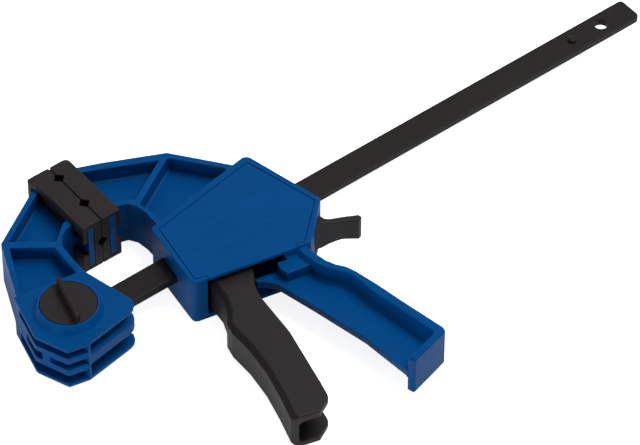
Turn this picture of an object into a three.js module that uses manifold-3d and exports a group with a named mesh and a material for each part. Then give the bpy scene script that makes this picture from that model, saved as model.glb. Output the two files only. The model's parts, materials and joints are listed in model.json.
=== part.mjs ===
// One-handed bar clamp with its jaws closed, lying on its side.
// Millimetres. +X runs along the bar away from the fixed jaw, +Y towards the jaw tips, +Z up.

import * as THREE from 'three';
import { mergeVertices } from 'three/addons/utils/BufferGeometryUtils.js';
import Module from 'manifold-3d';

const wasm = await Module();
wasm.setup();

// Fits
const gap = 0.3;
const pinPlay = 0.05;
const overrun = 1;

// Steps of round shapes
const wideSides = 64;
const holeSides = 32;
const arcSteps = 2;
const stepsPerTurn = 8;
const wireSides = 5;

// Bar and its holes
const barLength = 515.5;
const barHeight = 20;
const barThickness = 6;
const barOverhang = 27.5;
const barCornerRadius = 3;
const barEdge = 0.5;
const lockHoleRadius = 5;
const spreadHoleSetback = 27.3;
const stopPinSetback = 54;
const stopPinRadius = 3;
const stopPinStand = 2.5;
const stopPinDome = 1;

// Jaws
const jawHalf = 17;
const jawBack = 19.5;
const armWeb = 9.5;
const armTongue = 4.8;
const tongueHalf = 18;
const tongueLow = 49;
const tongueHigh = 105;
const throatDepth = 62.1;
const jawGap = 0.4;

// Jaw pads
const padHalf = 21.5;
const padFace = 6;
const padLip = 3.8;
const padLipReach = 15.5;
const padCorner = 4;
const padEnd = 110;
const padFaceCorner = 2;
const padEdge = 0.5;
const padWingStart = 88;
const padWingLow = 107;
const padWingReach = 3;
const grooveHalf = 4.2;
const grooveShares = [0.32, 0.8];

// Block of the fixed jaw that grips the end of the bar
const blockLeft = -31.6;
const blockRight = 40;
const blockLow = -32.4;
const blockHigh = 31;
const blockCornerShares = [[0.127, 1], [0, 0.424], [0.132, 0.05], [0.339, 0], [1, 0.114], [0.832, 0.869]];
const blockCornerRadii = [0, 6, 2, 3, 9, 3];
const plateThickness = 3;
const sideRib = 5.5;
const sleeveHalf = 5;
const slotDepth = 7;
const middleSlotHalf = 2.8;
const slotRib = 1.9;
const slotRibX = -7.6;

// Arm of the fixed jaw
const fixedArmLow = 22;
const fixedArmHigh = 104;
const fixedArmLeft = -23;
const fixedArmShares = [
  [0.043, 0.024], [0.03, 0.099], [0.312, 0.655], [0.985, 1], [1, 1],
  [1, 0.475], [0.927, 0.463], [0.841, 0.422], [0.761, 0.337], [0.74, 0.122], [0.74, 0],
];
const fixedUpperPocketShares = [
  [0.384, 0.636], [0.905, 0.902], [1.02, 0.961], [1.02, 0.542], [0.94, 0.534], [0.747, 0.401],
];
const fixedLowerPocketShares = [[0.073, 0.089], [0.345, 0.572], [0.694, 0.353], [0.657, 0.02]];

// Knob over the lock pin
const ringFootRadius = 23.7;
const ringTopRadius = 20.5;
const ringHeight = 6;
const knobRadius = 19.1;
const knobDisc = 4.7;
const knobStemRadius = 9;
const knobBore = 6.3;
const knobStemLength = 6.8;
const finLength = 37;
const finThickness = 3.8;
const finHeight = 7.5;
const finAngle = 75;
const finEdge = 0.9;

// Lock pin, its spring and the ring that keeps the knob in
const lockPinRadius = 4.5;
const lockPinDepth = 4.7;
const lockPinEdge = 0.5;
const lockCollarRadius = 6;
const lockCollarLow = 8;
const lockCollar = 1.5;
const lockSpindleRadius = 2.6;
const lockSpindle = 3;
const lockWire = 1.1;
const lockTurns = 3;
const ringWidth = 1.3;
const ringThickness = 1.2;
const ringLow = 14;
const ringGrooveDepth = 0.6;

// Housing of the moving jaw, from the face of its pad
const housingSetback = 15;
const housingHalf = 18.5;
const housingBack = 21;
const housingWall = 5;
const housingRim = 2.8;
const housingFloor = 3.5;
const coverThickness = 3.2;
const frontBay = 36.5;
const springBay = 20.4;
const brakeBay = 10.2;
const rearBay = 21.5;
const bulkhead = 4;
const bulkheadHalf = 17;
const housingLow = -51.3;
const housingHigh = 37.4;
const housingCornerShares = [[0, 0.206], [0.727, 0], [1, 0.313], [0.863, 1], [0.082, 0.842]];
const housingCornerRadii = [4, 2, 2, 5, 3];
// Outside of the walls, a little beyond the outline that the inside and the cover are set in from
const housingSkinShares = [[0, 0.206], [0.748, 0], [1.007, 0.312], [0.874, 1.029], [0.068, 0.856]];
const coverNotchShares = [0.097, 0.662];
const triggerMouthShares = [0.125, 0.806];
const leverMouthShares = [0.41, 0.87];
const leverMouthHalf = 13;
const labelDepth = 0.3;
const labelShares = [[0.149, 0.623], [0.867, 0.614], [0.882, 0.36], [0.147, 0.416]];
const labelCorner = 3;

// Arm of the moving jaw
const movingArmLow = 21;
const movingArmHigh = 102.8;
const movingArmShares = [
  [0, 1], [0.174, 0.914], [0.597, 0.673], [0.892, 0.215], [0.87, 0.11], [0.154, 0], [0.135, 0.037],
  [0.142, 0.218], [0.129, 0.328], [0.091, 0.4], [0.021, 0.427], [0, 0.432],
];
const movingLeftPocketShares = [
  [-0.03, 0.945], [0.136, 0.855], [0.512, 0.639], [0.159, 0.398], [0.108, 0.439], [0.04, 0.465],
  [-0.03, 0.472],
];
const movingRightPocketShares = [
  [0.559, 0.606], [0.579, 0.611], [0.83, 0.227], [0.81, 0.08], [0.174, 0.02], [0.177, 0.22], [0.158, 0.334],
];

// Handle
const handleLow = -175;
const handleHalf = 16;
const handleWeb = 6;
const handleRight = 123;
const handleLeft = 57;
const handleOuterShares = [
  [0.592, 1.027], [0.598, 0.994], [0.609, 0.924], [0.63, 0.863], [0.677, 0.805], [0.745, 0.754],
  [0.779, 0.707], [0.802, 0.65], [0.841, 0.554], [0.897, 0.382], [0.997, 0.101], [0.989, 0.07], [0.489, 0],
];
const handleInnerShares = [
  [0.467, 0.046], [0.86, 0.094], [0.88, 0.118], [0.741, 0.539], [0.73, 0.638], [0.72, 0.699],
  [0.673, 0.74], [0.597, 0.795], [0.541, 0.863], [0.515, 0.952], [0.509, 0.985], [0.515, 1.027],
];
const handleEdgeShares = [
  [0.009, 1.08], [0.009, 1.037], [0.083, 1.006], [0.156, 0.953], [0.27, 0.699], [0.406, 0.361],
  [0.462, 0.04],
];
const handleWebShares = [
  [0.49, 0.02], [0.917, 0.089], [0.795, 0.558], [0.705, 0.728], [0.568, 0.849], [0.553, 1.05], [0.4, 1.1],
];
const stopBlockHalf = 11.5;
const stopBlockShares = [
  [0.264, 1.043], [0.238, 0.986], [0.256, 0.935], [0.441, 0.917], [0.523, 0.913], [0.523, 1.027],
];

// Trigger
const triggerHalf = 12.5;
const triggerBack = 17.2;
const triggerInnerHalf = 6.5;
const triggerInnerBack = 12.8;
const triggerInnerEdge = 2;
const triggerBevel = 3.2;
const triggerHubRadius = 5.5;
const hubToBar = 0.7;
const triggerPinRadius = 3;
const triggerWall = 4;
const triggerCorner = 8;
const triggerSpan = 60.3;
const triggerBackReach = 6.8;
const triggerLow = -168.3;
const triggerNeckWidth = 31.8;
const triggerNeckDepth = 66.2;
const neckFrontShares = [[0.636, 1], [0.534, 0.816], [0.314, 0.604], [0.126, 0.392], [0.048, 0.211], [0, 0]];
const neckBackShares = [[0.943, 0.077], [1, 0.15], [0.991, 0.543], [0.928, 1]];
const triggerFrontShares = [
  [0.398, 0.582], [0.29, 0.538], [0.255, 0.489], [0.25, 0.386], [0.199, 0.267], [0.108, 0.153],
  [0.005, 0.045],
];
const triggerEndShares = [[0.028, 0.025], [0.3, 0], [0.509, 0.034]];
const triggerBackShares = [[0.745, 0.362], [0.804, 0.552], [0.856, 0.61]];
const channelTopShare = 0.392;
const noseRadius = 2.5;
const noseDrop = 8;
const plateSpacing = 1.5;
const plateCorner = 1.5;

// Drive plates and their spring
const drivePlate = 4;
const drivePlateHalf = 7.5;
const drivePlateLow = -20.5;
const drivePlateHigh = 15.5;
const springRadius = 12.5;
const springWire = 1.6;
const springTurns = 4.5;

// Brake plate and its spring
const brakePlate = 5;
const brakePlateHalf = 7.5;
const brakeFulcrum = 17;
const brakePlateLow = -19.7;
const brakePlateHigh = 20;
const brakeTilt = 6;
const brakeSlotBelow = 0.25;
const brakeSlotAbove = 0.6;
const fulcrumRib = 3.6;
const fulcrumRibDrop = 1;
const brakeSpringRadius = 2.6;
const brakeSpringWire = 0.9;
const brakeSpringTurns = 7;
const brakeSpringY = -15.5;
const brakeSpigot = 1.6;
const brakeSpigotLength = 4;

// Release lever
const leverPivotX = 7.5;
const leverPivotY = -29;
const leverHubRadius = 4.5;
const leverPinRadius = 2.5;
const leverHalf = 12;
const leverInnerHalf = 6;
const leverLength = 36.3;
const leverDrop = 20.5;
const leverShares = [
  [0, 1.1], [0.19, 1.122], [0.377, 0.971], [0.413, 0.756], [0.488, 0.654], [0.752, 0.488], [0.994, 0.244],
  [1, 0.093], [0.906, 0.02], [0.675, 0.3], [0.416, 0.456], [0.235, 0.58], [0.13, 0.6], [0, 0.8],
];
const leverTipRadius = 1.9;
const leverTipDrop = 8;
const leverArm = 6.5;
const leverElbowDrop = 8.5;
const leverPaddleShares = [
  [-0.2, -1], [0.26, -1], [0.45, -0.87], [0.75, -0.77], [1.1, -0.8], [1.1, 0.8], [0.6, 0.7], [0.42, 0.78],
  [0.27, 1], [-0.2, 1],
];

// Screws that hold the cover, put in from below
const screwRadius = 1.5;
const screwHeadRadius = 2.8;
const screwHead = 2.4;
const screwLength = 19.5;
const screwSink = 6;
const bossRadius = 3.8;
const screwShares = [[0.1515, 0.742], [0.8, 0.874], [0.665, 0.144], [0.0925, 0.2875]];

// Colours and finishes from the photograph
const blueShell = { color: 0x1256a0, roughness: 0.42, metalness: 0 };
const darkPlastic = { color: 0x332f31, roughness: 0.6, metalness: 0 };
const darkRubber = { color: 0x2f2c2d, roughness: 0.75, metalness: 0 };
const blackSteel = { color: 0x2c2a2a, roughness: 0.4, metalness: 0.85 };
const plainSteel = { color: 0x9a9a9a, roughness: 0.35, metalness: 1 };

// Places that follow from the sizes above
const barHalf = barThickness / 2;
const barEdgeY = barHeight / 2;
const slotY = barEdgeY + gap;
const slotZ = barHalf + gap;
const barLeft = -barOverhang;
const barRight = barLength - barOverhang;
const fixedFaceX = throatDepth;
const movingFaceX = fixedFaceX + jawGap;
const padDepth = padFace + armTongue + padLip + 2 * gap;
const fixedArmRight = fixedFaceX - padDepth - gap;
const fixedArmBox = [[fixedArmLeft, fixedArmRight], [fixedArmLow, fixedArmHigh]];
const blockBox = [[blockLeft, blockRight], [blockLow, blockHigh]];
const knobSeat = jawHalf + ringHeight - knobDisc;
const pivotX = housingSetback + frontBay;
const pivotY = barEdgeY + hubToBar + triggerHubRadius;
const driveX = pivotX + triggerHubRadius + plateSpacing;
const driveSpringX = driveX + 2 * drivePlate + 2 * gap;
const bulkheadX = driveSpringX + springBay + gap;
const fulcrumX = bulkheadX + bulkhead + brakeBay;
const housingRight = fulcrumX + brakePlate + rearBay;
const housingBox = [[housingSetback, housingRight], [housingLow, housingHigh]];
const movingArmLeft = padDepth + gap;
const movingArmRight = THREE.MathUtils.lerp(housingSetback, housingRight, housingCornerShares[3][0]);
const movingArmBox = [[movingArmLeft, movingArmRight], [movingArmLow, movingArmHigh]];
const handleBox = [[handleLeft, handleRight], [handleLow, housingLow]];
const triggerRight = pivotX + triggerBackReach;
const triggerBox = [[triggerRight - triggerSpan, triggerRight], [triggerLow, pivotY]];
const neckBox = [[triggerRight - triggerNeckWidth, triggerRight], [pivotY - triggerNeckDepth, pivotY]];
const noseX = driveX - gap - noseRadius;
const noseY = -barEdgeY - noseDrop;
const coverBottom = housingHalf - coverThickness;
const floorTop = housingFloor - housingBack;
const pinFoot = floorTop - housingFloor / 2;
const leverX = fulcrumX + leverPivotX;
const leverBox = [[leverX, leverX + leverLength], [leverPivotY - leverDrop, leverPivotY]];
const leverTipY = -barEdgeY - leverTipDrop;
const brakeLean = Math.tan(THREE.MathUtils.degToRad(brakeTilt));
const leverTipX = fulcrumX - (brakeFulcrum - leverTipY) * brakeLean - gap - leverTipRadius;
const ringInner = knobStemRadius - ringGrooveDepth + gap;
const ringOuter = ringInner + ringWidth;

// A closed geometry as a solid
function solidOf(geometry) {
  const bare = geometry.clone();
  bare.deleteAttribute('normal');
  bare.deleteAttribute('uv');
  const merged = mergeVertices(bare);
  return new wasm.Manifold(new wasm.Mesh({
    numProp: 3,
    vertProperties: merged.attributes.position.array,
    triVerts: new Uint32Array(merged.index.array),
  }));
}

// A solid as a geometry with a flat face to each triangle
function geometryOf(solid) {
  const mesh = solid.getMesh();
  const geometry = new THREE.BufferGeometry();
  geometry.setAttribute('position', new THREE.BufferAttribute(mesh.vertProperties, 3));
  geometry.setIndex(new THREE.BufferAttribute(mesh.triVerts, 1));
  geometry.computeVertexNormals();
  return geometry;
}

const join = (first, ...others) => others.reduce((whole, other) => whole.add(other), first);
const cut = (first, ...others) => others.reduce((whole, other) => whole.subtract(other), first);

// Outline points given as shares of a box's sides
function inBox(shares, [[left, right], [low, high]]) {
  return shares.map(([u, v]) => new THREE.Vector2(
    THREE.MathUtils.lerp(left, right, u),
    THREE.MathUtils.lerp(low, high, v),
  ));
}

// The same outline moved inwards by a distance, for outlines that run counter-clockwise
function inset(points, distance) {
  return points.map((point, i) => {
    const before = points[(i + points.length - 1) % points.length];
    const after = points[(i + 1) % points.length];
    const incoming = point.clone().sub(before).normalize();
    const outgoing = after.clone().sub(point).normalize();
    const bisector = new THREE.Vector2(-incoming.y - outgoing.y, incoming.x + outgoing.x).normalize();
    const spread = bisector.x * -incoming.y + bisector.y * incoming.x;
    return point.clone().addScaledVector(bisector, distance / spread);
  });
}

// A shape whose corners are rounded by arcs, begun at the first rounded one
function rounded(points, radii = []) {
  const shape = new THREE.Shape();
  const count = points.length;
  const first = Math.max(0, radii.findIndex((radius) => radius > 0));
  points.forEach((_, step) => {
    const i = (first + step) % count;
    const corner = points[i];
    const radius = radii[i] ?? 0;
    if (radius === 0) {
      if (step === 0) shape.moveTo(corner.x, corner.y);
      else shape.lineTo(corner.x, corner.y);
      return;
    }
    const back = points[(i + count - 1) % count].clone().sub(corner).normalize();
    const ahead = points[(i + 1) % count].clone().sub(corner).normalize();
    const half = Math.acos(back.dot(ahead)) / 2;
    const inwards = back.clone().add(ahead).normalize();
    const centre = corner.clone().addScaledVector(inwards, radius / Math.sin(half));
    const start = corner.clone().addScaledVector(back, radius / Math.tan(half)).sub(centre);
    const end = corner.clone().addScaledVector(ahead, radius / Math.tan(half)).sub(centre);
    shape.absarc(centre.x, centre.y, radius, start.angle(), end.angle(), back.cross(ahead) > 0);
  });
  shape.closePath();
  return shape;
}

const every = (points, radius) => points.map(() => radius);

// A shape raised between two heights
function slab(shape, low, high) {
  const geometry = new THREE.ExtrudeGeometry(shape, {
    depth: high - low,
    bevelEnabled: false,
    curveSegments: arcSteps,
  });
  return solidOf(geometry.translate(0, 0, low));
}

// The same with its edges bevelled inwards
function softSlab(shape, low, high, bevel) {
  const geometry = new THREE.ExtrudeGeometry(shape, {
    depth: high - low - 2 * bevel,
    bevelThickness: bevel,
    bevelSize: bevel,
    bevelOffset: -bevel,
    bevelSegments: 1,
    curveSegments: arcSteps,
  });
  return solidOf(geometry.translate(0, 0, low + bevel));
}

// An upright rod, or the cutter of a bore
function rod(radius, low, high, x = 0, y = 0, sides = holeSides) {
  const geometry = new THREE.CylinderGeometry(radius, radius, high - low, sides);
  return solidOf(geometry.rotateX(Math.PI / 2).translate(x, y, (low + high) / 2));
}

// A turned piece about an upright axis, from pairs of radius and height
function turned(profile, sides = holeSides) {
  const points = profile.map(([radius, height]) => new THREE.Vector2(radius, height));
  return solidOf(new THREE.LatheGeometry(points, sides).rotateX(Math.PI / 2));
}

function box(left, right, low, high, bottom, top) {
  const geometry = new THREE.BoxGeometry(right - left, high - low, top - bottom);
  return solidOf(geometry.translate((left + right) / 2, (low + high) / 2, (bottom + top) / 2));
}

// A coil of wire around the X axis between two ends
function coilAlongX(radius, wire, turns, start, end, y = 0) {
  const length = end - start - wire;
  const helix = new THREE.Curve();
  helix.getPoint = (t) => {
    const angle = 2 * Math.PI * turns * t;
    return new THREE.Vector3(
      start + wire / 2 + length * t,
      y + radius * Math.cos(angle),
      radius * Math.sin(angle),
    );
  };
  const round = new THREE.EllipseCurve(0, 0, wire / 2, wire / 2);
  const section = new THREE.Shape(round.getSpacedPoints(wireSides).slice(0, wireSides));
  return new THREE.ExtrudeGeometry(section, {
    extrudePath: helix,
    steps: turns * stepsPerTurn,
    bevelEnabled: false,
  });
}

function named(name, shape, look) {
  const geometry = shape.isBufferGeometry ? shape : geometryOf(shape);
  const mesh = new THREE.Mesh(geometry, new THREE.MeshStandardMaterial(look));
  mesh.name = name;
  return mesh;
}

function makeBar() {
  const corners = inBox([[0, 0], [1, 0], [1, 1], [0, 1]], [[barLeft, barRight], [-barEdgeY, barEdgeY]]);
  const blank = softSlab(rounded(corners, every(corners, barCornerRadius)), -barHalf, barHalf, barEdge);
  const reach = barHalf + overrun;
  return cut(
    blank,
    rod(lockHoleRadius, -reach, reach),
    rod(lockHoleRadius, -reach, reach, barRight - spreadHoleSetback),
    rod(stopPinRadius + pinPlay, -reach, reach, barRight - stopPinSetback),
  );
}

function makeStopPin() {
  const shoulder = barHalf + stopPinStand - stopPinDome;
  const top = barHalf + stopPinStand;
  const crown = stopPinRadius * 0.6;
  const profile = [[0, -top], [crown, -top + stopPinDome / 4], [stopPinRadius, -shoulder]];
  profile.push([stopPinRadius, shoulder], [crown, top - stopPinDome / 4], [0, top]);
  return turned(profile);
}

// Slots in the sides of the block, above and below the sleeve around the bar
function blockSlots(outline) {
  const inner = inset(outline, slotDepth);
  const far = blockLow - slotDepth;
  const beyond = blockLeft - slotDepth;
  const strip = [
    new THREE.Vector2(beyond, fixedArmLow + gap), new THREE.Vector2(inner[0].x, fixedArmLow + gap),
    inner[1], inner[2], new THREE.Vector2(slotRibX, inner[3].y), new THREE.Vector2(slotRibX, far),
    new THREE.Vector2(beyond, far),
  ];
  const start = -slotY - sideRib;
  const middle = [
    new THREE.Vector2(beyond, start), new THREE.Vector2(inner[1].x, start),
    inner[2], new THREE.Vector2(slotRibX, inner[3].y), new THREE.Vector2(slotRibX, far),
    new THREE.Vector2(beyond, far),
  ];
  const side = [
    new THREE.Vector2(slotRibX + slotRib, far), new THREE.Vector2(blockRight + slotDepth, far),
    new THREE.Vector2(blockRight + slotDepth, slotY), new THREE.Vector2(slotRibX + slotRib, slotY),
  ];
  const core = rod(ringFootRadius, -jawBack, jawHalf, 0, 0, wideSides);
  const slots = [slab(rounded(middle), -middleSlotHalf, middleSlotHalf)];
  for (const plate of [plateThickness - jawBack, jawHalf - plateThickness]) {
    const [low, high] = [Math.sign(plate) * (middleSlotHalf + sideRib), plate].sort((a, b) => a - b);
    slots.push(slab(rounded(strip), low, high));
    const [foot, head] = [Math.sign(plate) * sleeveHalf, plate].sort((a, b) => a - b);
    slots.push(cut(slab(rounded(side), foot, head), core));
  }
  return slots;
}

function makeFixedJaw() {
  const outline = inBox(blockCornerShares, blockBox);
  const arm = inBox(fixedArmShares, fixedArmBox);
  const reach = jawBack + overrun;
  const pockets = [fixedUpperPocketShares, fixedLowerPocketShares].flatMap((shares) => {
    const shape = rounded(inBox(shares, fixedArmBox));
    return [slab(shape, armWeb / 2, reach), slab(shape, -reach, -armWeb / 2)];
  });
  const tongueX = fixedFaceX - padFace - gap - armTongue;
  const neckLow = THREE.MathUtils.lerp(fixedArmLow, fixedArmHigh, fixedArmShares[5][1]);
  const block = cut(slab(rounded(outline, blockCornerRadii), -jawBack, jawHalf), ...blockSlots(outline));
  const top = jawHalf + ringHeight;
  const ring = turned([[0, jawHalf - plateThickness], [ringFootRadius, jawHalf - plateThickness],
    [ringFootRadius, jawHalf], [ringTopRadius, top], [0, top]], wideSides);
  const body = join(
    block,
    cut(slab(rounded(arm), -jawBack, jawHalf), ...pockets),
    box(fixedArmRight - overrun, tongueX + overrun, neckLow, fixedArmHigh, -armWeb / 2, armWeb / 2),
    box(tongueX, tongueX + armTongue, tongueLow, tongueHigh, -tongueHalf, tongueHalf),
    ring,
  );
  const stemFloor = knobSeat - gap - knobStemLength - gap;
  const collarFloor = lockCollarLow - gap;
  return cut(
    body,
    box(barLeft - slotDepth, blockRight + overrun, -slotY, slotY, -slotZ, slotZ),
    rod(knobRadius + gap, knobSeat - gap, top + overrun, 0, 0, wideSides),
    rod(knobStemRadius + gap, stemFloor, top),
    rod(ringOuter + gap, ringLow - gap, ringLow + ringThickness + gap),
    rod(lockCollarRadius + gap, collarFloor, top),
    rod(lockPinRadius + gap, 0, top),
  );
}

// A cap that slides over the tongue of a jaw, with its gripping face towards +X at x = 0
function makePad() {
  const back = -padDepth;
  const tongueFace = -padFace;
  const tongueBack = tongueFace - armTongue - 2 * gap;
  const inner = tongueHalf + gap;
  const mouthHalf = padHalf - padLipReach;
  const corners = inBox([[0, 0], [1, 0], [1, 1], [0, 1]], [[back, 0], [tongueLow, padEnd]]);
  const shell = softSlab(rounded(corners, [0, 0, padFaceCorner, padCorner]), -padHalf, padHalf, padEdge);
  const grooves = grooveShares.map((share) => {
    const y = THREE.MathUtils.lerp(tongueLow, padEnd, share);
    const shape = rounded([
      new THREE.Vector2(overrun, y - grooveHalf - overrun),
      new THREE.Vector2(overrun, y + grooveHalf + overrun),
      new THREE.Vector2(-grooveHalf, y),
    ]);
    return slab(shape, -padHalf - overrun, padHalf + overrun);
  });
  const along = slab(rounded([
    new THREE.Vector2(overrun, -grooveHalf - overrun),
    new THREE.Vector2(overrun, grooveHalf + overrun),
    new THREE.Vector2(-grooveHalf, 0),
  ]), -padEnd - overrun, -tongueLow + overrun).rotate([90, 0, 0]);
  return cut(
    shell,
    box(tongueBack, tongueFace, tongueLow - overrun, tongueHigh + gap, -inner, inner),
    box(back - overrun, tongueFace, tongueLow - overrun, tongueHigh + gap, -mouthHalf, mouthHalf),
    ...grooves,
    along,
  );
}

// What reaches out behind the fixed pad's tip, with room for the end of the jaw's arm
function makePadWing() {
  const back = -padDepth;
  const inside = back + padLip;
  const outside = back - padWingReach;
  const outline = [
    new THREE.Vector2(back, padWingStart), new THREE.Vector2(inside, padWingStart),
    new THREE.Vector2(inside, padEnd), new THREE.Vector2(outside, padEnd),
    new THREE.Vector2(outside, padWingLow),
  ];
  const wing = softSlab(rounded(outline, [0, 0, 0, padFaceCorner]), -padHalf, padHalf, padEdge);
  const room = tongueHigh + gap;
  const start = padWingStart - overrun;
  return cut(wing, box(outside - overrun, inside + overrun, start, room, -jawBack - gap, jawHalf + gap));
}

function makeKnob() {
  const top = jawHalf + ringHeight;
  const stemLow = knobSeat - gap - knobStemLength;
  const groove = knobStemRadius - ringGrooveDepth;
  const grooveLow = ringLow - gap;
  const grooveHigh = ringLow + ringThickness + gap;
  const ceiling = top - knobDisc / 2;
  const knob = turned([
    [knobBore, stemLow], [knobStemRadius, stemLow], [knobStemRadius, grooveLow], [groove, grooveLow],
    [groove, grooveHigh], [knobStemRadius, grooveHigh], [knobStemRadius, knobSeat], [knobRadius, knobSeat],
    [knobRadius, top], [0, top], [0, ceiling], [knobBore, ceiling], [knobBore, stemLow],
  ], wideSides);
  const half = finThickness / 2;
  const ends = inBox([[0, 0], [1, 0], [1, 1], [0, 1]], [[-finLength / 2, finLength / 2], [-half, half]]);
  const finShape = rounded(ends, every(ends, half - finEdge / 4));
  const fin = softSlab(finShape, ceiling + gap, top + finHeight, finEdge);
  return join(knob, fin.rotate([0, 0, finAngle]));
}

function makeLockPin() {
  const bottom = barHalf - lockPinDepth;
  const collarHigh = lockCollarLow + lockCollar;
  return turned([
    [0, bottom], [lockPinRadius - lockPinEdge, bottom], [lockPinRadius, bottom + lockPinEdge],
    [lockPinRadius, lockCollarLow], [lockCollarRadius, lockCollarLow], [lockCollarRadius, collarHigh],
    [lockSpindleRadius, collarHigh],
    [lockSpindleRadius, collarHigh + lockSpindle], [0, collarHigh + lockSpindle],
  ]);
}

function makeLockSpring() {
  const low = lockCollarLow + lockCollar + gap;
  const high = jawHalf + ringHeight - knobDisc / 2 - gap;
  const radius = (knobBore + lockSpindleRadius) / 2;
  return coilAlongX(radius, lockWire, lockTurns, low, high).rotateY(-Math.PI / 2);
}

function makeKnobRing() {
  const high = ringLow + ringThickness;
  const ring = turned([
    [ringInner, ringLow], [ringOuter, ringLow], [ringOuter, high], [ringInner, high], [ringInner, ringLow],
  ]);
  return cut(ring, box(0, ringOuter + overrun, -ringWidth, ringWidth, ringLow - overrun, high + overrun));
}

// Share of the housing's length as a place along it
const alongHousing = (share) => THREE.MathUtils.lerp(housingSetback, housingRight, share);

// Outline of the cover: inside the housing's rim, but out to its edge below the trigger's mouth
function coverOutline(outline, clearance) {
  const inner = inset(outline, housingRim + clearance);
  const [front, end] = outline;
  const [innerFront, innerEnd] = inner;
  const [notchStart, notchEnd] = coverNotchShares.map(alongHousing);
  const edge = (a, b, x) => new THREE.Vector2(x, a.y + (b.y - a.y) * (x - a.x) / (b.x - a.x));
  const startX = notchStart + clearance;
  const endX = notchEnd - clearance;
  return [
    innerFront, edge(innerFront, innerEnd, startX), edge(front, end, startX),
    edge(front, end, endX), edge(innerFront, innerEnd, endX), innerEnd, ...inner.slice(2),
  ];
}

// Walls of the housing without its openings
function housingShell(outline) {
  const inner = inset(outline, housingWall);
  const skin = inBox(housingSkinShares, housingBox);
  const shell = cut(
    slab(rounded(skin, housingCornerRadii), -housingBack, housingHalf),
    slab(rounded(inner), floorTop, housingHalf + overrun),
    slab(rounded(coverOutline(outline, 0)), coverBottom - gap, housingHalf + overrun),
  );
  const [front, end] = outline;
  const [notchStart, notchEnd] = coverNotchShares.map(alongHousing);
  const top = housingHalf + overrun;
  return cut(shell, box(notchStart, notchEnd, end.y - overrun, front.y + overrun, coverBottom - gap, top));
}

// What stands inside the housing: the wall behind the drive spring, the brake's rest and the screws' bosses
function housingInside(outline) {
  const low = floorTop - overrun;
  const high = coverBottom - gap;
  const inside = slab(rounded(outline), low, high);
  const wall = box(bulkheadX, bulkheadX + bulkhead, -bulkheadHalf, bulkheadHalf, low, high);
  const ribRight = fulcrumX - gap;
  const rib = box(ribRight - fulcrumRib, ribRight, brakeFulcrum - fulcrumRibDrop, housingHigh, low, high);
  const bosses = inBox(screwShares, housingBox).map(({ x, y }) => rod(bossRadius, low, -gap, x, y));
  const spigotLength = brakeSpigotLength + housingWall / 2;
  const spigot = solidOf(new THREE.CylinderGeometry(brakeSpigot, brakeSpigot, spigotLength, holeSides)
    .rotateZ(Math.PI / 2)
    .translate(brakeSpringEnd() - brakeSpigotLength + spigotLength / 2, brakeSpringY, 0));
  return join(wall, rib, ...bosses, spigot).intersect(inside);
}

// Where the rear wall's inner side meets the brake spring
function brakeSpringEnd() {
  const inner = inset(inBox(housingCornerShares, housingBox), housingWall);
  const [low, high] = [inner[2], inner[3]];
  const y = brakeSpringY + brakeSpringRadius + brakeSpringWire / 2;
  return low.x + (high.x - low.x) * (y - low.y) / (high.y - low.y) - gap;
}

function makeMovingArm() {
  const reach = jawBack + overrun;
  const pockets = [movingLeftPocketShares, movingRightPocketShares].flatMap((shares) => {
    const shape = rounded(inBox(shares, movingArmBox));
    return [slab(shape, armWeb / 2, reach), slab(shape, -reach, -armWeb / 2)];
  });
  const arm = cut(slab(rounded(inBox(movingArmShares, movingArmBox)), -jawBack, jawHalf), ...pockets);
  const tongueX = padFace + gap;
  const tongueBack = tongueX + armTongue;
  const [, [low, high]] = movingArmBox;
  const neckLow = THREE.MathUtils.lerp(low, high, movingArmShares.at(-1)[1]);
  return join(
    arm,
    box(tongueBack - overrun, movingArmLeft + overrun, neckLow, movingArmHigh, -armWeb / 2, armWeb / 2),
    box(tongueX, tongueBack, tongueLow, tongueHigh, -tongueHalf, tongueHalf),
  );
}

function makeHandle() {
  const edge = inBox(handleEdgeShares, handleBox);
  const flange = rounded([...inBox(handleOuterShares, handleBox), ...inBox(handleInnerShares, handleBox)]);
  return join(
    slab(flange, -handleHalf, handleHalf),
    slab(rounded([...edge, ...inBox(handleWebShares, handleBox)]), -handleWeb / 2, handleWeb / 2),
    slab(rounded(inBox(stopBlockShares, handleBox)), -stopBlockHalf, stopBlockHalf),
  );
}

// Cutter of a mouth through the wall from one corner of the outline to the next
function mouth(from, to, [start, end], low, high, reach = overrun) {
  const along = to.clone().sub(from);
  const inward = new THREE.Vector2(-along.y, along.x).normalize();
  const depths = [-reach, -reach, housingWall + overrun, housingWall + overrun];
  const shares = [start, end, end, start];
  const place = (share, depth) => from.clone().addScaledVector(along, share).addScaledVector(inward, depth);
  return slab(rounded(shares.map((share, i) => place(share, depths[i]))), low, high);
}

function makeBody() {
  const outline = inBox(housingCornerShares, housingBox);
  const seat = coverBottom - gap;
  const cavity = slab(rounded(inset(outline, housingWall)), floorTop, seat);
  const outside = join(cut(makeMovingArm(), cavity), cut(makeHandle(), cavity));
  const opening = slab(rounded(coverOutline(outline, 0)), seat, jawHalf);
  const shell = join(housingShell(outline), cut(outside, opening));
  const [front, end, rear] = outline;
  const body = join(
    cut(
      shell,
      mouth(front, end, triggerMouthShares, floorTop, coverBottom),
      mouth(end, rear, leverMouthShares, -leverMouthHalf, leverMouthHalf, housingWall),
    ),
    housingInside(outline),
  );
  const bottom = -housingBack - overrun;
  const screws = inBox(screwShares, housingBox).flatMap(({ x, y }) => [
    rod(screwHeadRadius + gap, bottom, screwSink + screwHead + pinPlay - housingBack, x, y),
    rod(screwRadius + gap, bottom, 0, x, y),
  ]);
  return cut(
    body,
    box(0, housingRight + overrun, -slotY, slotY, -slotZ, slotZ),
    rod(triggerPinRadius + pinPlay, pinFoot, jawHalf, pivotX, pivotY),
    rod(leverPinRadius + pinPlay, pinFoot, 0, leverX, leverPivotY),
    ...screws,
  );
}

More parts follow.
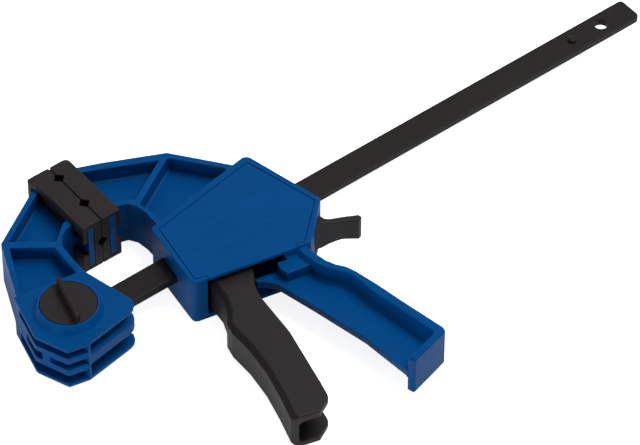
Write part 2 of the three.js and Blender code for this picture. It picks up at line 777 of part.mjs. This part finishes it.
function makeCover() {
  const outline = inBox(housingCornerShares, housingBox);
  const plate = slab(rounded(coverOutline(outline, gap)), coverBottom, housingHalf);
  const places = inBox(screwShares, housingBox);
  const bosses = places.map(({ x, y }) => rod(bossRadius, 0, coverBottom + overrun, x, y));
  const label = rounded(inBox(labelShares, housingBox), [0, labelCorner, labelCorner, labelCorner]);
  const screwTop = screwLength + screwSink + screwHead - housingBack;
  const holes = places.map(({ x, y }) => rod(screwRadius + pinPlay, -overrun, screwTop + gap, x, y));
  return cut(
    join(plate, ...bosses),
    slab(label, housingHalf - labelDepth, housingHalf + overrun),
    ...holes,
  );
}

function makeScrew() {
  const low = screwSink - housingBack;
  const high = low + screwHead;
  return turned([
    [0, low], [screwHeadRadius, low], [screwHeadRadius, high], [screwRadius, high],
    [screwRadius, high + screwLength], [0, high + screwLength],
  ], holeSides);
}

// Lever of a channel that is open at its back and its end, and forks round the bar above its front wall
function makeTrigger() {
  const front = [...inBox(neckFrontShares, neckBox), ...inBox(triggerFrontShares, triggerBox)];
  const end = inBox(triggerEndShares, triggerBox);
  const back = [...inBox(triggerBackShares, triggerBox), ...inBox(neckBackShares, neckBox)];
  const widened = back.map(({ x, y }) => new THREE.Vector2(x + 2 * triggerBevel, y));
  const radii = [...every([...front, ...end], 0).slice(1), triggerCorner];
  const lengthened = end.map(({ x, y }) => new THREE.Vector2(x, y - 2 * triggerBevel));
  const outer = rounded([...front, ...lengthened, ...widened], radii);
  const blank = softSlab(outer, -triggerBack, triggerHalf, triggerBevel)
    .intersect(slab(rounded([...front, ...end, ...back], radii), -triggerBack, triggerHalf));
  const [[left, right], [low, high]] = triggerBox;
  const channelTop = THREE.MathUtils.lerp(...neckBox[1], channelTopShare);
  const below = front.filter(({ y }) => y <= channelTop);
  const inner = below.map(({ x, y }) => new THREE.Vector2(x + triggerWall, y));
  const beyond = right + triggerInnerEdge + overrun;
  const over = high + triggerHubRadius + triggerInnerEdge;
  const under = low - triggerInnerEdge - overrun;
  const channel = [
    ...inner, new THREE.Vector2(inner.at(-1).x, under), new THREE.Vector2(beyond, under),
    new THREE.Vector2(beyond, over), new THREE.Vector2(left, over), new THREE.Vector2(left, channelTop),
  ];
  const platesRoom = drivePlateHalf + gap;
  const fork = cut(
    blank,
    softSlab(rounded(channel), -triggerInnerBack, triggerInnerHalf, triggerInnerEdge),
    box(left, beyond, channelTop - plateCorner, over, -platesRoom, platesRoom),
  );
  const hub = rod(triggerHubRadius, -triggerBack, triggerHalf, pivotX, pivotY);
  const nose = rod(noseRadius, gap - triggerBack, triggerHalf - gap, noseX, noseY);
  return cut(
    join(fork, hub, nose),
    rod(triggerPinRadius + pinPlay, -triggerBack - overrun, triggerHalf + overrun, pivotX, pivotY),
  );
}

// A stamped plate that stands across the bar, with a slot for it
function barPlate(thickness, half, low, high, slotLow, slotHigh) {
  const corners = inBox([[0, 0], [1, 0], [1, 1], [0, 1]], [[-half, half], [low, high]]);
  const slot = inBox([[0, 0], [1, 0], [1, 1], [0, 1]], [[-slotZ, slotZ], [slotLow, slotHigh]]);
  const blank = slab(rounded(corners, every(corners, plateCorner)), 0, thickness);
  return cut(blank, slab(rounded(slot), -overrun, thickness + overrun)).rotate([0, 90, 0]);
}

function makeDrivePlate(index) {
  const plate = barPlate(drivePlate, drivePlateHalf, drivePlateLow, drivePlateHigh, -slotY, slotY);
  return plate.translate([driveX + index * (drivePlate + gap), 0, 0]);
}

// The brake plate about its fulcrum
function makeBrakePlate() {
  return barPlate(
    brakePlate, brakePlateHalf, brakePlateLow - brakeFulcrum, brakePlateHigh - brakeFulcrum,
    -barEdgeY - brakeSlotBelow - brakeFulcrum, barEdgeY + brakeSlotAbove - brakeFulcrum,
  );
}

function makeBrakeSpring() {
  const reach = brakeFulcrum - brakeSpringY - brakeSpringRadius - brakeSpringWire / 2;
  const start = fulcrumX + (brakePlate + gap) * Math.hypot(1, brakeLean) - reach * brakeLean;
  const end = brakeSpringEnd();
  return coilAlongX(brakeSpringRadius, brakeSpringWire, brakeSpringTurns, start, end, brakeSpringY);
}

// Paddle outside the housing, with a cranked arm inside it that pushes the brake plate's foot
function makeReleaseLever() {
  const profile = slab(rounded(inBox(leverShares, leverBox)), -leverHalf, leverHalf);
  const widths = rounded(inBox(leverPaddleShares, [leverBox[0], [0, leverHalf]]));
  const paddle = profile.intersect(slab(widths, leverPivotY - leverDrop - overrun, 0).rotate([-90, 0, 0]));
  const left = leverTipX - leverTipRadius;
  const right = leverTipX + leverTipRadius / 2;
  const elbow = leverTipY - leverElbowDrop;
  const arm = slab(rounded([
    new THREE.Vector2(left, leverTipY), new THREE.Vector2(left, elbow - leverArm / 2),
    new THREE.Vector2(leverX, leverPivotY - leverHubRadius), new THREE.Vector2(leverX, elbow),
    new THREE.Vector2(right, elbow), new THREE.Vector2(right, leverTipY),
  ]), -leverInnerHalf, leverInnerHalf);
  return cut(
    join(
      paddle, arm,
      rod(leverTipRadius, -leverInnerHalf, leverInnerHalf, leverTipX, leverTipY),
      rod(leverHubRadius, -leverHalf, leverHalf, leverX, leverPivotY),
    ),
    rod(leverPinRadius + pinPlay, -leverHalf - overrun, leverHalf + overrun, leverX, leverPivotY),
  );
}

const makePin = (radius, x, y) => rod(radius, pinFoot + pinPlay, coverBottom - gap, x, y);

function assemble() {
  const clamp = new THREE.Group();
  const fixed = new THREE.Group();
  const pad = makePad();
  const fixedPad = named('fixed_pad', join(pad, makePadWing()), darkRubber);
  fixedPad.position.x = fixedFaceX;
  fixed.add(
    named('bar', makeBar(), blackSteel),
    named('stop_pin', makeStopPin(), blackSteel),
    named('fixed_jaw', makeFixedJaw(), blueShell),
    fixedPad,
    named('lock_knob', makeKnob(), darkPlastic),
    named('lock_pin', makeLockPin(), plainSteel),
    named('lock_spring', makeLockSpring(), plainSteel),
    named('knob_ring', makeKnobRing(), plainSteel),
  );
  fixed.getObjectByName('stop_pin').position.x = barRight - stopPinSetback;

  const moving = new THREE.Group();
  moving.position.x = movingFaceX;
  const springEnd = driveSpringX + springBay;
  const driveSpring = coilAlongX(springRadius, springWire, springTurns, driveSpringX, springEnd);
  const brake = named('brake_plate', makeBrakePlate(), plainSteel);
  brake.position.set(fulcrumX, brakeFulcrum, 0);
  brake.rotation.z = THREE.MathUtils.degToRad(-brakeTilt);
  moving.add(
    named('body', makeBody(), blueShell),
    named('side_cover', makeCover(), blueShell),
    named('moving_pad', pad.mirror([1, 0, 0]), darkRubber),
    named('trigger', makeTrigger(), darkPlastic),
    named('trigger_pin', makePin(triggerPinRadius, pivotX, pivotY), plainSteel),
    named('drive_plate_1', makeDrivePlate(0), plainSteel),
    named('drive_plate_2', makeDrivePlate(1), plainSteel),
    named('drive_spring', driveSpring, plainSteel),
    brake,
    named('brake_spring', makeBrakeSpring(), plainSteel),
    named('release_lever', makeReleaseLever(), darkPlastic),
    named('lever_pin', makePin(leverPinRadius, leverX, leverPivotY), plainSteel),
  );
  inBox(screwShares, housingBox).forEach(({ x, y }, index) => {
    const screw = named(`cover_screw_${index + 1}`, makeScrew(), blackSteel);
    screw.position.set(x, y, 0);
    moving.add(screw);
  });
  clamp.add(fixed, moving);
  return clamp;
}

// The finished clamp stands on the floor with its middle over the origin
const clamp = assemble();
clamp.updateMatrixWorld(true);
const bounds = new THREE.Box3().setFromObject(clamp, true);
const middle = bounds.getCenter(new THREE.Vector3());
clamp.position.set(-middle.x, -middle.y, -bounds.min.z);

export default clamp;
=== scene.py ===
# Looks of the one-handed clamp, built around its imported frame. Metres throughout.
import json
import math

import bpy
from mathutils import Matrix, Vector

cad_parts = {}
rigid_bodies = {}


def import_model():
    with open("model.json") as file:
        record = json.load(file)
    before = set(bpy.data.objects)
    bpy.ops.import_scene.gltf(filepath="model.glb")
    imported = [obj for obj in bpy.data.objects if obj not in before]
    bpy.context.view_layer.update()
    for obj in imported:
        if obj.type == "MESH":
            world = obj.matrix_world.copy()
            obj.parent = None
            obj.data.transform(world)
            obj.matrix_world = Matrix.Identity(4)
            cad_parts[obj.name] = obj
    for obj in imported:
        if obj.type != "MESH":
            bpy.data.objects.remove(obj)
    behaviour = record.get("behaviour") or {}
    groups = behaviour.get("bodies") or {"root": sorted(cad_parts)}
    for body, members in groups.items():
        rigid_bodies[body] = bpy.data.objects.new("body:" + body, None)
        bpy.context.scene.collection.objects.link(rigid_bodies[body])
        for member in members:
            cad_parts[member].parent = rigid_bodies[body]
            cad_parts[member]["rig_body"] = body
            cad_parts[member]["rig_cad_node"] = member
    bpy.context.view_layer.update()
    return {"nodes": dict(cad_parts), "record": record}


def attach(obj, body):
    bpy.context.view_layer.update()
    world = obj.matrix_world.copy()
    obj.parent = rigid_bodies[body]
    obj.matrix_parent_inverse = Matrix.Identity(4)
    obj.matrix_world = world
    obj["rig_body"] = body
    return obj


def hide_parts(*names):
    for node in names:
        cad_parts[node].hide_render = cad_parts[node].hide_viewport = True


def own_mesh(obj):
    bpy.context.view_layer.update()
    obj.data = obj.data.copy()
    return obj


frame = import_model()
mm = 0.001
print("frame loaded")


# Selecting and finishing, with angles in degrees

meshing = {
    "mergeDistance": 0.01 * mm, "flatAngle": 0.5, "sharpAngle": 28, "smoothAngle": 32, "coilAngle": 50,
    "flatWeight": 100, "largeRadius": 3 * mm, "roundSegments": 3, "roomShare": 0.4, "turnedCosine": 0.9,
}


def deselectAll():
    bpy.ops.object.select_all(action="DESELECT")


def activate(obj):
    deselectAll()
    obj.select_set(True)
    bpy.context.view_layer.objects.active = obj


def applyModifier(obj, kind, **settings):
    activate(obj)
    modifier = obj.modifiers.new(kind.title(), kind)
    for key, value in settings.items():
        setattr(modifier, key, value)
    bpy.ops.object.modifier_apply(modifier=modifier.name)


# Smooth across small angles, with the large flat faces kept flat
def smoothEdges(obj, degrees):
    activate(obj)
    bpy.ops.object.shade_smooth_by_angle(angle=math.radians(degrees))
    applyModifier(obj, "WEIGHTED_NORMAL", mode="FACE_AREA", weight=meshing["flatWeight"], keep_sharp=True)


# A merged copy of a solid of the frame, as one skin of flat faces
def copyOf(node, name):
    activate(frame["nodes"][node])
    bpy.ops.object.duplicate()
    copy = bpy.context.view_layer.objects.active
    copy.name = copy.data.name = name
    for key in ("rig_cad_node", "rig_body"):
        if key in copy:
            del copy[key]
    copy.parent = None
    bpy.ops.object.mode_set(mode="EDIT")
    bpy.ops.mesh.select_all(action="SELECT")
    bpy.ops.mesh.remove_doubles(threshold=meshing["mergeDistance"])
    bpy.ops.mesh.dissolve_limited(angle_limit=math.radians(meshing["flatAngle"]))
    bpy.ops.object.mode_set(mode="OBJECT")
    return copy


# A radius stays below a share of the shortest edge that turns away at either end
def keepRoom(mesh, weights):
    ends = [[mesh.vertices[index].co for index in edge.vertices] for edge in mesh.edges]
    spans = [second - first for first, second in ends]
    meeting = [[] for point in mesh.vertices]
    for edge in mesh.edges:
        for index in edge.vertices:
            meeting[index].append(edge.index)
    for edge in mesh.edges:
        weight = weights[edge.index]
        if weight.value > 0:
            along = spans[edge.index].normalized()
            near = {other for index in edge.vertices for other in meeting[index] if other != edge.index}
            turned = [
                spans[other].length for other in near
                if abs(along.dot(spans[other].normalized())) < meshing["turnedCosine"]
            ]
            room = meshing["roomShare"] * min(turned, default=meshing["largeRadius"])
            weight.value = min(weight.value, room / meshing["largeRadius"])


# Each sharp edge gets the piece's radius, and one that lies inside a soft box the box's own radius
def roundEdges(obj, finish):
    activate(obj)
    bpy.ops.object.mode_set(mode="EDIT")
    bpy.ops.mesh.select_mode(type="EDGE")
    bpy.ops.mesh.select_all(action="DESELECT")
    bpy.ops.mesh.edges_select_sharp(sharpness=math.radians(meshing["sharpAngle"]))
    bpy.ops.transform.edge_bevelweight(value=finish["radius"] / meshing["largeRadius"])
    bpy.ops.object.mode_set(mode="OBJECT")
    weights = obj.data.attributes["bevel_weight_edge"].data
    points = obj.data.vertices
    for low, high, radius in finish.get("soft", ()):
        for edge in obj.data.edges:
            ends = [points[index].co for index in edge.vertices]
            inside = all(low[axis] <= end[axis] <= high[axis] for end in ends for axis in range(3))
            if inside and weights[edge.index].value > 0:
                weights[edge.index].value = radius / meshing["largeRadius"]
    keepRoom(obj.data, weights)
    applyModifier(
        obj, "BEVEL", width=meshing["largeRadius"], segments=meshing["roundSegments"], limit_method="WEIGHT",
        use_clamp_overlap=False, miter_outer="MITER_ARC",
    )


def hand(obj, node, body, material):
    obj.data.materials.clear()
    obj.data.materials.append(material)
    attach(obj, body)
    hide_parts(node)


# Shader nodes, whose inputs take a number, a colour, a vector or another node's output

def addNode(tree, kind, inputs=None, **settings):
    node = tree.nodes.new(kind)
    for key, value in settings.items():
        setattr(node, key, value)
    for key, value in (inputs or {}).items():
        if isinstance(value, bpy.types.NodeSocket):
            tree.links.new(value, node.inputs[key])
        else:
            node.inputs[key].default_value = value
    return node


def calculate(tree, operation, *values):
    return addNode(tree, "ShaderNodeMath", dict(enumerate(values)), operation=operation).outputs[0]


def project(tree, first, second):
    node = addNode(tree, "ShaderNodeVectorMath", {0: first, 1: second}, operation="DOT_PRODUCT")
    return node.outputs["Value"]


def mixColors(tree, share, first, second):
    node = addNode(tree, "ShaderNodeMix", {"Factor": share, "A": first, "B": second}, data_type="RGBA")
    return node.outputs["Result"]


# The noises, the turn of a normal at which a painted edge highlight begins and is full, and how far a wall
# under the painted foot highlight faces -Y
patterns = {
    "detailGrain": 3, "roughnessGrain": 0.6, "detailMottle": 4, "roughnessMottle": 0.55,
    "edgeSamples": 6, "edgeBegins": 0.999, "edgeFull": 0.86, "footFacing": -0.55,
}


# A node group whose inputs are numbers, apart from the one named Vector, and whose outputs are numbers
def makeGroup(name, inputs, outputs):
    group = bpy.data.node_groups.new(name, "ShaderNodeTree")
    for label in inputs:
        kind = "NodeSocketVector" if label == "Vector" else "NodeSocketFloat"
        group.interface.new_socket(label, in_out="INPUT", socket_type=kind)
    for label in outputs:
        group.interface.new_socket(label, in_out="OUTPUT", socket_type="NodeSocketFloat")
    return group, addNode(group, "NodeGroupInput").outputs, addNode(group, "NodeGroupOutput").inputs


# Fine grain and slow mottling, both from 0 to 1
def makeGrainGroup():
    group, entry, leave = makeGroup("fineGrain", ("Vector", "Scale", "Mottle Scale"), ("Grain", "Mottle"))
    for label, scale in (("Grain", "Scale"), ("Mottle", "Mottle Scale")):
        noise = addNode(group, "ShaderNodeTexNoise", {
            "Vector": entry["Vector"], "Scale": entry[scale], "Detail": patterns["detail" + label],
            "Roughness": patterns["roughness" + label],
        })
        group.links.new(noise.outputs["Fac"], leave[label])
    return group


# Rises from 0 on flat faces to 1 where a rounded normal turns away from the surface's own, to place the
# painted edge highlight
def makeEdgeHighlightGroup():
    group, entry, leave = makeGroup("edgeHighlightMask", ("Radius",), ("Edge",))
    bevel = addNode(group, "ShaderNodeBevel", {"Radius": entry["Radius"]}, samples=patterns["edgeSamples"])
    geometry = addNode(group, "ShaderNodeNewGeometry")
    turn = project(group, bevel.outputs["Normal"], geometry.outputs["Normal"])
    mask = addNode(group, "ShaderNodeMapRange", {
        "Value": turn, "From Min": patterns["edgeBegins"], "From Max": patterns["edgeFull"],
    })
    group.links.new(mask.outputs["Result"], leave["Edge"])
    return group


# A painted highlight: the thin pale line where a wall that faces -Y meets the floor of a pocket, painted in
# place of a reflection on the fillet there
def makePaintedHighlightGroup():
    group, entry, leave = makeGroup("footLine", ("Vector", "Height", "Width", "Behind"), ("Line",))
    place = addNode(group, "ShaderNodeSeparateXYZ", {0: entry["Vector"]})
    geometry = addNode(group, "ShaderNodeNewGeometry")
    facing = addNode(group, "ShaderNodeSeparateXYZ", {0: geometry.outputs["Normal"]})
    band = calculate(group, "COMPARE", place.outputs["Z"], entry["Height"], entry["Width"])
    behind = calculate(group, "GREATER_THAN", place.outputs["Y"], entry["Behind"])
    turned = calculate(group, "LESS_THAN", facing.outputs["Y"], patterns["footFacing"])
    placed = calculate(group, "MULTIPLY", band, behind)
    group.links.new(calculate(group, "MULTIPLY", placed, turned), leave["Line"])
    return group


grainGroup = makeGrainGroup()
edgeHighlightGroup = makeEdgeHighlightGroup()
footGroup = makePaintedHighlightGroup()


# Materials

def newMaterial(name):
    material = bpy.data.materials.new(name)
    material.use_nodes = True
    tree = material.node_tree
    return material, tree, tree.nodes["Principled BSDF"]


# A screen colour of 0 to 255 a channel as a shader's linear colour, by the sRGB curve
def linear(*channels):
    shares = [channel / 255 for channel in channels]
    return (*(((share + 0.055) / 1.055) ** 2.4 if share > 0.04 else share / 12.92 for share in shares), 1)


# Sets the grain, the roughness and the sheen, and returns the mottled colour with its edges painted paler as
# a painted highlight
def dress(tree, shader, look, vector, uneven):
    grain = addNode(tree, "ShaderNodeGroup", {
        "Vector": vector, "Scale": look["grainScale"], "Mottle Scale": look["mottleScale"],
    }, node_tree=grainGroup).outputs
    edge = addNode(tree, "ShaderNodeGroup", {"Radius": look["edgeRadius"]}, node_tree=edgeHighlightGroup).outputs
    rough = addNode(tree, "ShaderNodeMapRange", {
        "Value": grain[uneven], "To Min": look["roughness"][0], "To Max": look["roughness"][1],
    })
    bump = addNode(tree, "ShaderNodeBump", {
        "Height": grain["Grain"], "Strength": look["bump"], "Distance": look["bumpDepth"],
    })
    tree.links.new(rough.outputs["Result"], shader.inputs["Roughness"])
    tree.links.new(bump.outputs["Normal"], shader.inputs["Normal"])
    shader.inputs["Specular IOR Level"].default_value = look["specular"]
    tone = mixColors(tree, grain["Mottle"], look["dark"], look["light"])
    # The paler edge colour mixed in on rounded edges is a painted highlight
    return mixColors(tree, calculate(tree, "MULTIPLY", edge["Edge"], look["edgeHighlightShare"]), tone, look["edge"])


def mouldedPlastic(name, look):
    material, tree, shader = newMaterial(name)
    vector = addNode(tree, "ShaderNodeTexCoord").outputs["Object"]
    color = dress(tree, shader, look, vector, "Mottle")
    # Painted highlight: a pale line where walls that face -Y meet the pocket floor
    if "foot" in look:
        foot = addNode(tree, "ShaderNodeGroup", {
            "Vector": vector, "Height": look["footHeight"], "Width": look["footWidth"],
            "Behind": look["footBehind"],
        }, node_tree=footGroup)
        color = mixColors(tree, foot.outputs["Line"], color, look["foot"])
    tree.links.new(color, shader.inputs["Base Color"])
    shader.inputs["Specular Tint"].default_value = look["tint"]
    return material


def rolledSteel(name, look):
    material, tree, shader = newMaterial(name)
    place = addNode(tree, "ShaderNodeTexCoord")
    stretch = addNode(tree, "ShaderNodeMapping", {
        "Vector": place.outputs["Object"], "Scale": look["stretch"],
    })
    color = dress(tree, shader, look, stretch.outputs["Vector"], "Grain")
    tree.links.new(color, shader.inputs["Base Color"])
    shader.inputs["Metallic"].default_value = look["metallic"]
    return material


# Each look's edge colour is a painted highlight on rounded edges
blueLook = {
    "dark": linear(0, 65, 125), "light": linear(0, 76, 139), "edge": linear(22, 98, 172),
    "edgeHighlightShare": 0.8, "edgeRadius": 1.2 * mm, "grainScale": 2600, "mottleScale": 38,
    "roughness": (0.4, 0.5), "bump": 0.12, "bumpDepth": 0.08 * mm, "specular": 0.2,
    # The foot colour is a painted highlight, a pale line at the feet of walls that face -Y
    "tint": (0, 0.35, 1, 1), "foot": linear(50, 76, 118), "footHeight": 26.9 * mm,
    "footWidth": 0.45 * mm, "footBehind": 52 * mm,
}
darkLook = {
    "dark": linear(17, 13, 14), "light": linear(25, 20, 21), "edge": linear(46, 40, 40),
    "edgeHighlightShare": 0.5, "edgeRadius": 0.9 * mm, "grainScale": 1700, "mottleScale": 60,
    "roughness": (0.42, 0.55), "bump": 0.3, "bumpDepth": 0.12 * mm, "specular": 0.32,
    "tint": (1, 0.93, 0.95, 1),
}
rubberLook = {
    "dark": linear(25, 20, 21), "light": linear(34, 28, 29), "edge": linear(58, 50, 46),
    "edgeHighlightShare": 0.5, "edgeRadius": 0.8 * mm, "grainScale": 2200, "mottleScale": 45,
    "roughness": (0.55, 0.7), "bump": 0.25, "bumpDepth": 0.1 * mm, "specular": 0.33,
    "tint": (1, 0.93, 0.93, 1),
}
blackLook = {
    "dark": linear(20, 15, 15), "light": linear(29, 22, 22), "edge": linear(70, 64, 62),
    "edgeHighlightShare": 0.35, "edgeRadius": 0.6 * mm, "stretch": (0.08, 1, 1), "grainScale": 900,
    "mottleScale": 70, "roughness": (0.42, 0.58), "bump": 0.1, "bumpDepth": 0.05 * mm,
    "metallic": 0, "specular": 0.22,
}
steelLook = {
    "dark": linear(130, 130, 130), "light": linear(168, 168, 166), "edge": linear(205, 205, 202),
    "edgeHighlightShare": 0.4, "edgeRadius": 0.4 * mm, "stretch": (1, 1, 0.1), "grainScale": 1200,
    "mottleScale": 90, "roughness": (0.25, 0.42), "bump": 0.1, "bumpDepth": 0.03 * mm,
    "metallic": 1, "specular": 0.5,
}
slotLooks = {
    "blue_shell": mouldedPlastic("blueShell", blueLook),
    "dark_plastic": mouldedPlastic("darkPlastic", darkLook),
    "dark_rubber": mouldedPlastic("darkRubber", rubberLook),
    "black_steel": rolledSteel("blackSteel", blackLook),
    "plain_steel": rolledSteel("plainSteel", steelLook),
}
for part in frame["record"]["subparts"]:
    node = frame["nodes"][part["node"]]
    node.data.materials.clear()
    node.data.materials.append(slotLooks[part["material_slot"]])
print("materials made")


# Finished copies of the moulded and stamped solids, with the small radii of their moulds

# A soft box is its lowest corner, its highest corner and the radius of the edges in it, 0 to leave them sharp
finishes = {
    "fixed_jaw": {
        "name": "fixedJaw", "body": "frame", "slot": "blue_shell", "radius": 0.6 * mm,
        "soft": (((-0.24, -0.01, 0.026), (-0.1, 0.2, 0.0265), 2 * mm),),
    },
    "body": {
        "name": "slidingJaw", "body": "slider", "slot": "blue_shell", "radius": 0.6 * mm,
        "soft": (
            ((-0.2, 0.04, 0.026), (0, 0.2, 0.0265), 2 * mm),
            ((-0.0775, -0.14, 0.024), (-0.045, -0.03, 0.025), 2.5 * mm),
            ((-0.12, -0.15, 0.0365), (-0.03, -0.044, 0.0385), 1.4 * mm),
            ((-0.0775, -0.144, 0.003), (-0.041, -0.125, 0.0395), 1.8 * mm),
        ),
    },
    "side_cover": {
        "name": "coverPlate", "body": "slider", "slot": "blue_shell", "radius": 0.7 * mm,
        "soft": (((-0.137, 0.011, 0.039), (-0.048, 0.039, 0.0405), 0.14 * mm),),
    },
    "fixed_pad": {
        "name": "fixedPad", "body": "frame", "slot": "dark_rubber", "radius": 0.45 * mm,
    },
    "moving_pad": {
        "name": "movingPad", "body": "slider", "slot": "dark_rubber", "radius": 0.45 * mm,
    },
    "trigger": {
        "name": "squeezeTrigger", "body": "trigger", "slot": "dark_plastic", "radius": 0.8 * mm,
        "soft": (
            ((-0.17, -0.14, 0.033), (-0.1, 0, 0.035), 1.1 * mm),
            ((-0.15, 0.002, 0), (-0.09, 0.07, 0.05), 0),
        ),
    },
    "release_lever": {
        "name": "releaseLever", "body": "release_lever", "slot": "dark_plastic", "radius": 0.7 * mm,
    },
    "lock_knob": {
        "name": "lockKnob", "body": "lock_knob", "slot": "dark_plastic", "radius": 0.4 * mm,
        "soft": (((-0.26, -0.03, 0), (-0.2, 0.07, 0.0425), 0),),
    },
    "bar": {
        "name": "flatBar", "body": "frame", "slot": "black_steel", "radius": 0.25 * mm,
    },
}
for node, finish in finishes.items():
    piece = copyOf(node, finish["name"])
    roundEdges(piece, finish)
    smoothEdges(piece, meshing["smoothAngle"])
    hand(piece, node, finish["body"], slotLooks[finish["slot"]])
    print("finished", finish["name"], len(piece.data.polygons))


# The springs, which shorten towards their fixed ends as the joints move; here they are smoothed copies, and
# the joint, fixed end and travel listed for each are not used

coils = {
    "drive_spring": {
        "name": "driveCoil", "body": "slider", "joint": "drive_slide",
        "axis": (1, 0, 0), "fixedEnd": -78.337 * mm, "travel": 10.9 * mm,
    },
    "brake_spring": {
        "name": "brakeCoil", "body": "slider", "joint": "brake_tilt",
        "axis": (1, 0, 0), "fixedEnd": -45.637 * mm, "travel": 3.4 * mm,
    },
    "lock_spring": {
        "name": "lockCoil", "body": "frame", "joint": "pin_lift",
        "axis": (0, 0, 1), "fixedEnd": 41.85 * mm, "travel": 5.05 * mm,
    },
}
for node, coil in coils.items():
    piece = copyOf(node, coil["name"])
    smoothEdges(piece, meshing["coilAngle"])
    hand(piece, node, coil["body"], slotLooks["plain_steel"])
    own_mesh(piece)


# Floor, lights and camera, whose angles are in degrees and whose lens is in millimetres

studio = {
    "floorSize": 12, "floorDrop": 0.2 * mm, "floorColor": (0.88, 0.88, 0.89, 1), "floorRoughness": 0.9,
    "floorSpecular": 0.1, "floorGlow": 0.85, "mirroredShare": 0.24,
    "worldNear": 0.18, "worldFar": 0.42, "awaySide": (0.62, 0.78, 0),
}
lights = {
    "keyLight": {"place": (0.75, -0.3, 2.1), "size": 1.3, "power": 35},
    "backLight": {"place": (1, 1.25, 1.5), "size": 1.6, "power": 3},
    "sideLight": {"place": (-1.9, -0.55, 0.2), "size": 0.36, "power": 11},
}
view = {
    "place": (-1.28994, -1.597, 2.1854), "tilt": 43.2, "turn": -37.96, "lens": 247.18, "sensor": 36,
    "clipStart": 0.1, "clipEnd": 50,
}


# The floor glows for the camera and a little in reflections, and keeps the object's shadow
def makeFloor():
    deselectAll()
    bpy.ops.mesh.primitive_plane_add(size=studio["floorSize"], location=(0, 0, -studio["floorDrop"]))
    floor = bpy.context.view_layer.objects.active
    floor.name = "floor"
    material, tree, shader = newMaterial("paleFloor")
    shader.inputs["Base Color"].default_value = studio["floorColor"]
    shader.inputs["Roughness"].default_value = studio["floorRoughness"]
    shader.inputs["Specular IOR Level"].default_value = studio["floorSpecular"]
    path = addNode(tree, "ShaderNodeLightPath").outputs
    mirrored = calculate(tree, "MULTIPLY", path["Is Glossy Ray"], studio["mirroredShare"])
    seen = calculate(tree, "MAXIMUM", path["Is Camera Ray"], mirrored)
    seenThrough = calculate(tree, "MAXIMUM", seen, path["Is Transmission Ray"])
    level = calculate(tree, "MULTIPLY", seenThrough, studio["floorGlow"])
    glow = addNode(tree, "ShaderNodeEmission", {"Strength": level})
    both = addNode(tree, "ShaderNodeAddShader", {0: shader.outputs[0], 1: glow.outputs[0]})
    tree.links.new(both.outputs[0], tree.nodes["Material Output"].inputs["Surface"])
    floor.data.materials.append(material)


# White for the camera, and a soft light that grows away from the camera's side
def makeWorld():
    world = bpy.data.worlds.new("studioWorld")
    bpy.context.scene.world = world
    world.use_nodes = True
    tree = world.node_tree
    back = tree.nodes["Background"]
    back.inputs["Color"].default_value = (1, 1, 1, 1)
    path = addNode(tree, "ShaderNodeLightPath")
    place = addNode(tree, "ShaderNodeTexCoord")
    level = addNode(tree, "ShaderNodeMapRange", {
        "Value": project(tree, place.outputs["Generated"], studio["awaySide"]), "From Min": -1,
        "To Min": studio["worldNear"], "To Max": studio["worldFar"],
    })
    strength = addNode(tree, "ShaderNodeMapRange", {
        "Value": path.outputs["Is Camera Ray"], "To Min": level.outputs["Result"], "To Max": 1,
    })
    tree.links.new(strength.outputs["Result"], back.inputs["Strength"])


# A square lamp that looks at the origin, where the object lies
def addLight(name, settings):
    deselectAll()
    bpy.ops.object.light_add(type="AREA", location=settings["place"])
    light = bpy.context.view_layer.objects.active
    light.name = name
    light.data.shape = "SQUARE"
    light.data.size = settings["size"]
    light.data.energy = settings["power"]
    light.rotation_euler = (-Vector(settings["place"])).to_track_quat("-Z", "Y").to_euler()


def addCamera():
    deselectAll()
    rotation = (math.radians(view["tilt"]), 0, math.radians(view["turn"]))
    bpy.ops.object.camera_add(location=view["place"], rotation=rotation)
    camera = bpy.context.view_layer.objects.active
    camera.name = "camera"
    camera.data.lens = view["lens"]
    camera.data.sensor_width = view["sensor"]
    camera.data.clip_start = view["clipStart"]
    camera.data.clip_end = view["clipEnd"]
    bpy.context.scene.camera = camera


makeFloor()
makeWorld()
for name, settings in lights.items():
    addLight(name, settings)
addCamera()
bpy.context.scene.view_settings.view_transform = "Standard"
print("studio set")
